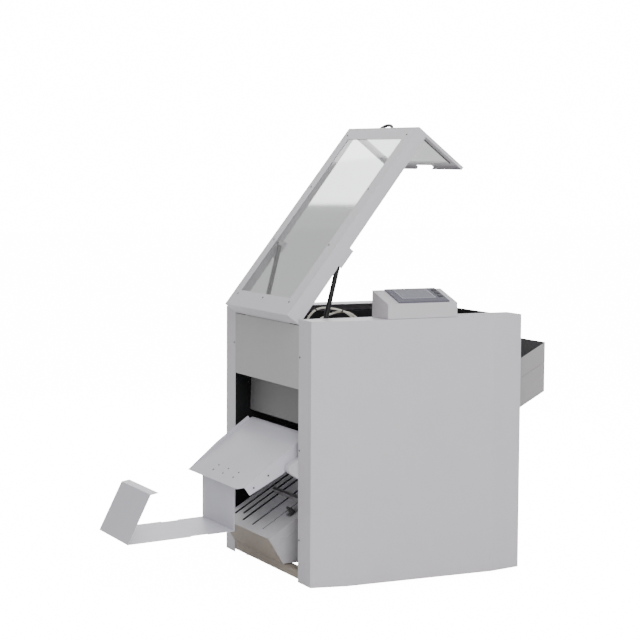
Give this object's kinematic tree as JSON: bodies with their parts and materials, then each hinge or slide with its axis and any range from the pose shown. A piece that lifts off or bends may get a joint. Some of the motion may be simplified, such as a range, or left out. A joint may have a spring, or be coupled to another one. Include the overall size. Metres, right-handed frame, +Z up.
{
  "type": "automatic booklet maker",
  "caption": "Floor-standing machine that wire stitches a stack of sheets through the fold and folds it into a booklet, with a windowed lid, sloping bed, hopper, delivery chute and tray.",
  "frame": {"origin": "floor level, below the middle of the machine's plan from tray to hopper", "axes": "+X from the delivery tray to the infeed hopper, +Y from the console side to the far cover, +Z up"},
  "size_m": [1.6433, 0.818, 1.6688],
  "materials": {
    "grey_paint": "light warm grey textured powder coat",
    "tan_steel": "tan paint on the base",
    "black_paint": "satin black paint",
    "black_plastic": "moulded black plastic",
    "steel": "ground and zinc plated steel",
    "rubber": "black rubber",
    "clear": "clear acrylic sheet",
    "console_plastic": "light grey moulded plastic",
    "panel_plastic": "blue grey bezel with a dull display",
    "hose": "translucent cream nylon hose",
    "wire": "copper coloured stitching wire on a spool"
  },
  "bodies": {
    "root": {"air_hose_1": "hose", "air_hose_2": "hose", "base_frame": "tan_steel", "bed_crossbar": "black_paint", "bed_plate": "grey_paint", "chute_support_arm": "grey_paint", "clinch_bar": "steel", "console_housing": "console_plastic", "drive_belt": "rubber", "drive_motor": "steel", "exit_deflector": "grey_paint", "exit_top_rail": "black_paint", "exit_upper_panel": "grey_paint", "far_cover": "grey_paint", "far_side_plate": "black_paint", "hopper_housing": "grey_paint", "hopper_tray": "grey_paint", "infeed_bed_plate": "grey_paint", "infeed_end_panel": "grey_paint", "infeed_top_rail": "black_paint", "lid_hinge": "steel", "near_bed_beam": "grey_paint", "near_cover": "grey_paint", "near_side_plate": "black_paint", "power_inlet": "black_plastic", "roller_bearing_far": "steel", "roller_bearing_near": "steel", "stitch_beam": "steel", "stitch_head_far": "steel", "stitch_head_near": "steel", "touch_panel": "panel_plastic"},
    "lid": {"lid_frame": "grey_paint", "lid_window": "clear", "lid_handle": "black_plastic"},
    "strut_case_near": {"strut_cylinder_near": "black_paint"},
    "strut_shaft_near": {"strut_rod_near": "steel"},
    "strut_case_far": {"strut_cylinder_far": "black_paint"},
    "strut_shaft_far": {"strut_rod_far": "steel"},
    "chute": {"delivery_chute": "grey_paint", "receiving_tray": "grey_paint"},
    "stop": {"paper_stop": "steel"},
    "knob": {"stop_clamp_knob": "black_plastic"},
    "guide_near": {"side_guide_near": "steel"},
    "guide_far": {"side_guide_far": "steel"},
    "roller_front": {"fold_roller_front": "rubber"},
    "roller_rear": {"fold_roller_rear": "rubber"},
    "pulley": {"motor_pulley": "black_plastic"},
    "knife": {"fold_knife": "steel"},
    "driver_near": {"stitch_driver_near": "steel"},
    "driver_far": {"stitch_driver_far": "steel"},
    "spool_near": {"wire_spool_near": "wire"},
    "spool_far": {"wire_spool_far": "wire"},
    "key_1": {"function_key_1": "console_plastic"},
    "key_2": {"function_key_2": "console_plastic"},
    "key_3": {"function_key_3": "console_plastic"},
    "switch": {"power_switch": "black_plastic"},
    "foot_1": {"levelling_foot_1": "rubber"},
    "foot_2": {"levelling_foot_2": "rubber"},
    "foot_3": {"levelling_foot_3": "rubber"},
    "foot_4": {"levelling_foot_4": "rubber"}
  },
  "joints": [
    {"name": "lid_swing", "type": "hinge", "parent": "root", "child": "lid", "pos_m": [-0.219, 0, 0.946], "axis": [0, 1, 0], "range_deg": [0, 52]},
    {"name": "strut_turn_near", "type": "hinge", "parent": "lid", "child": "strut_case_near", "pos_m": [-0.04504, -0.2557, 1.20602], "axis": [0, 1, 0], "range_deg": [-10, 0.5]},
    {"name": "strut_slide_near", "type": "slide", "parent": "strut_case_near", "child": "strut_shaft_near", "axis": [0.2436, 0, 0.9699], "range_m": [-0.0005, 0.1235]},
    {"name": "strut_turn_far", "type": "hinge", "parent": "lid", "child": "strut_case_far", "pos_m": [-0.04504, 0.2727, 1.20602], "axis": [0, 1, 0], "range_deg": [-10, 0.5]},
    {"name": "strut_slide_far", "type": "slide", "parent": "strut_case_far", "child": "strut_shaft_far", "axis": [0.2436, 0, 0.9699], "range_m": [-0.0005, 0.1235]},
    {"name": "chute_lift", "type": "hinge", "parent": "root", "child": "chute", "pos_m": [-0.16953, 0, 0.50537], "axis": [0, 1, 0], "range_deg": [0, 25]},
    {"name": "stop_slide", "type": "slide", "parent": "root", "child": "stop", "axis": [0.8545, 0, 0.5195], "range_m": [-0.06, 0.18]},
    {"name": "knob_turn", "type": "hinge", "parent": "stop", "child": "knob", "pos_m": [-0.1621, -0.097, 0.22733], "axis": [-0.5195, 0, 0.8545], "range_deg": [0, 360]},
    {"name": "guide_near_slide", "type": "slide", "parent": "root", "child": "guide_near", "axis": [0, 1, 0], "range_m": [0, 0.05]},
    {"name": "guide_far_slide", "type": "slide", "parent": "root", "child": "guide_far", "axis": [0, 1, 0], "range_m": [-0.05, 0]},
    {"name": "roller_front_turn", "type": "hinge", "parent": "root", "child": "roller_front", "pos_m": [0.05207, 0, 0.42309], "axis": [0, 1, 0], "continuous": true},
    {"name": "roller_rear_turn", "type": "hinge", "parent": "root", "child": "roller_rear", "pos_m": [0.08676, 0, 0.44418], "axis": [0, 1, 0], "continuous": true},
    {"name": "pulley_turn", "type": "hinge", "parent": "root", "child": "pulley", "pos_m": [0.336, 0, 0.262], "axis": [0, 1, 0], "continuous": true},
    {"name": "knife_lift", "type": "slide", "parent": "root", "child": "knife", "axis": [-0.5195, 0, 0.8545], "range_m": [0, 0.03]},
    {"name": "driver_near_push", "type": "slide", "parent": "root", "child": "driver_near", "axis": [0.5195, 0, -0.8545], "range_m": [0, 0.0085], "stiffness_N_per_m": 500},
    {"name": "driver_far_push", "type": "slide", "parent": "root", "child": "driver_far", "axis": [0.5195, 0, -0.8545], "range_m": [0, 0.0085], "stiffness_N_per_m": 500},
    {"name": "spool_near_turn", "type": "hinge", "parent": "root", "child": "spool_near", "pos_m": [0.19507, -0.074, 0.70817], "axis": [0, 1, 0], "continuous": true},
    {"name": "spool_far_turn", "type": "hinge", "parent": "root", "child": "spool_far", "pos_m": [0.19507, 0.091, 0.70817], "axis": [0, 1, 0], "continuous": true},
    {"name": "key_1_press", "type": "slide", "parent": "root", "child": "key_1", "axis": [0, 0.3207, -0.9472], "range_m": [0, 0.0008], "stiffness_N_per_m": 300},
    {"name": "key_2_press", "type": "slide", "parent": "root", "child": "key_2", "axis": [0, 0.3207, -0.9472], "range_m": [0, 0.0008], "stiffness_N_per_m": 300},
    {"name": "key_3_press", "type": "slide", "parent": "root", "child": "key_3", "axis": [0, 0.3207, -0.9472], "range_m": [0, 0.0008], "stiffness_N_per_m": 300},
    {"name": "switch_rock", "type": "hinge", "parent": "root", "child": "switch", "pos_m": [0.6446, 0.206, 0.179], "axis": [0, 1, 0], "range_deg": [-10, 0]},
    {"name": "foot_1_turn", "type": "hinge", "parent": "root", "child": "foot_1", "pos_m": [-0.1622, -0.258, 0.012], "axis": [0, 0, 1], "range_deg": [-180, 180]},
    {"name": "foot_2_turn", "type": "hinge", "parent": "root", "child": "foot_2", "pos_m": [-0.1622, 0.275, 0.012], "axis": [0, 0, 1], "range_deg": [-180, 180]},
    {"name": "foot_3_turn", "type": "hinge", "parent": "root", "child": "foot_3", "pos_m": [0.5768, -0.258, 0.012], "axis": [0, 0, 1], "range_deg": [-180, 180]},
    {"name": "foot_4_turn", "type": "hinge", "parent": "root", "child": "foot_4", "pos_m": [0.5768, 0.275, 0.012], "axis": [0, 0, 1], "range_deg": [-180, 180]}
  ],
  "couplings": [
    {"joint": "strut_turn_near", "follows": "lid_swing", "ratio": -0.185},
    {"joint": "strut_turn_far", "follows": "lid_swing", "ratio": -0.185},
    {"joint": "strut_slide_near", "follows": "lid_swing", "m_per_rad": 0.1344},
    {"joint": "strut_slide_far", "follows": "lid_swing", "m_per_rad": 0.1344},
    {"joint": "guide_far_slide", "follows": "guide_near_slide", "ratio": -1},
    {"joint": "roller_rear_turn", "follows": "roller_front_turn", "ratio": -1},
    {"joint": "pulley_turn", "follows": "roller_front_turn", "ratio": -1},
    {"joint": "driver_far_push", "follows": "driver_near_push", "ratio": 1}
  ]
}
